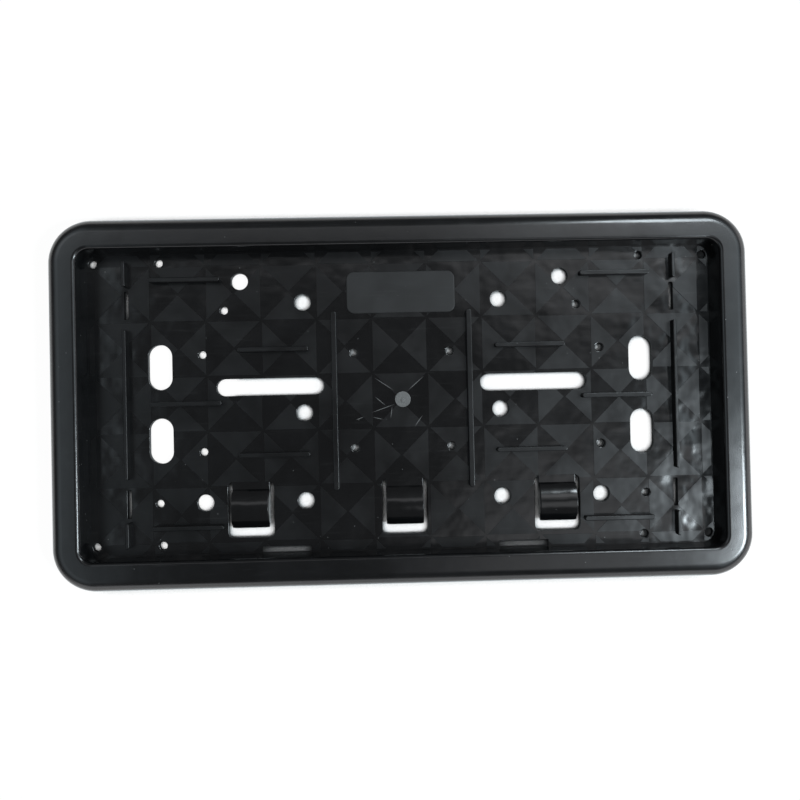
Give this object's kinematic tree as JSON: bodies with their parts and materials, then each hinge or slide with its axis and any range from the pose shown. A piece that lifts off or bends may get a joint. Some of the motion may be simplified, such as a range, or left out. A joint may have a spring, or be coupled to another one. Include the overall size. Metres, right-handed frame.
{
  "type": "number plate holder",
  "caption": "Flat black holder for a vehicle number plate: a hollow round-edged rim round a well, with ribs, fixing holes and slots, and sprung tongues that press on the plate.",
  "frame": {"origin": "centre of the flat back, which lies on the ground plane", "axes": "+X along the long side, +Y towards the upper edge, +Z out of the open front"},
  "size_m": [0.3896, 0.2056, 0.017],
  "materials": {
    "black_plastic": "moulded black plastic, gloss on the rim and ground, matt on the raised triangles"
  },
  "bodies": {
    "root": {"plate_holder": "black_plastic"}
  },
  "joints": []
}
